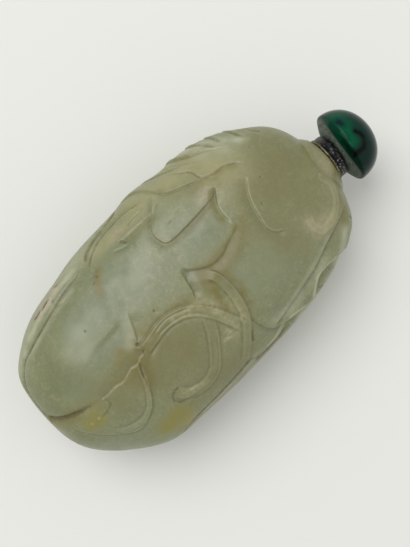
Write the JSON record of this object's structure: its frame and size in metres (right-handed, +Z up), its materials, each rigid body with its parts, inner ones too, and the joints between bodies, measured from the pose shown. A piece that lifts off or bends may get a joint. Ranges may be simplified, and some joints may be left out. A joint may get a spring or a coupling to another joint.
{
  "type": "carved jade snuff bottle with domed stopper",
  "caption": "Flattened, rounded jade snuff bottle carved as a fruit with overlapping leaves and curling stems, lying on its back; hollow, closed by a dark collar and domed green glass stopper.",
  "frame": {"origin": "middle of the flat ground on the bottle's back, on which it lies", "axes": "+X along the bottle toward its mouth and stopper, +Y across it, +Z up out of the carved front"},
  "size_m": [0.0759, 0.0363, 0.0243],
  "materials": {
    "jade": "hand-polished grey-green nephrite with brown stain in the cuts",
    "dark_collar": "worn near-black patina",
    "green_glass": "polished dark green glass, worn underneath"
  },
  "bodies": {
    "root": {"bottle": "jade", "stopper_collar": "dark_collar", "stopper_cabochon": "green_glass"}
  },
  "joints": []
}
